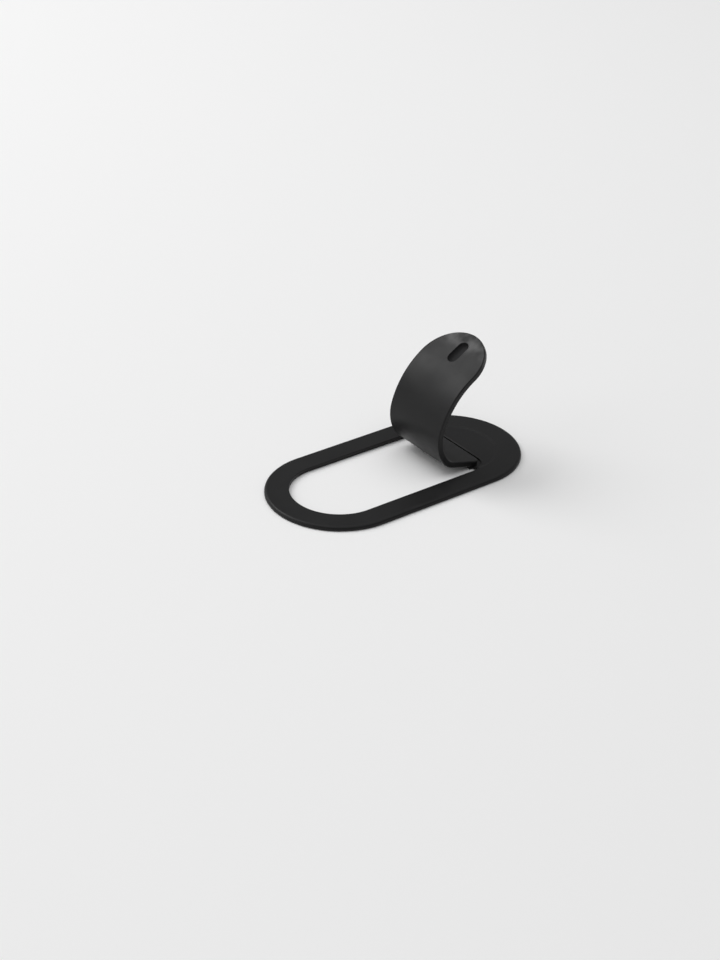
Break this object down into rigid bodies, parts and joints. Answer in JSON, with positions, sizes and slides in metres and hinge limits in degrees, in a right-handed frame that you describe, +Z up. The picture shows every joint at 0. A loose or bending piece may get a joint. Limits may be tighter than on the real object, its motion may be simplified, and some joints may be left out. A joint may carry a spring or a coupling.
{
  "type": "phone grip",
  "caption": "Flat oblong silicone ring with a wide strap moulded at one end, raised and curled back into an open finger loop, on a die-cut adhesive pad; sticks to the back of a phone.",
  "frame": {"origin": "centre of the oblong ring, on the underside of the adhesive pad", "axes": "+X along the ring towards the strap's root, +Y across the ring, +Z up from the surface it is stuck to"},
  "size_m": [0.065, 0.033, 0.0284],
  "materials": {
    "silicone": "matt black moulded silicone",
    "adhesive": "dark grey double-sided film tape"
  },
  "bodies": {
    "root": {"silicone_grip": "silicone", "adhesive_pad": "adhesive"}
  },
  "joints": []
}
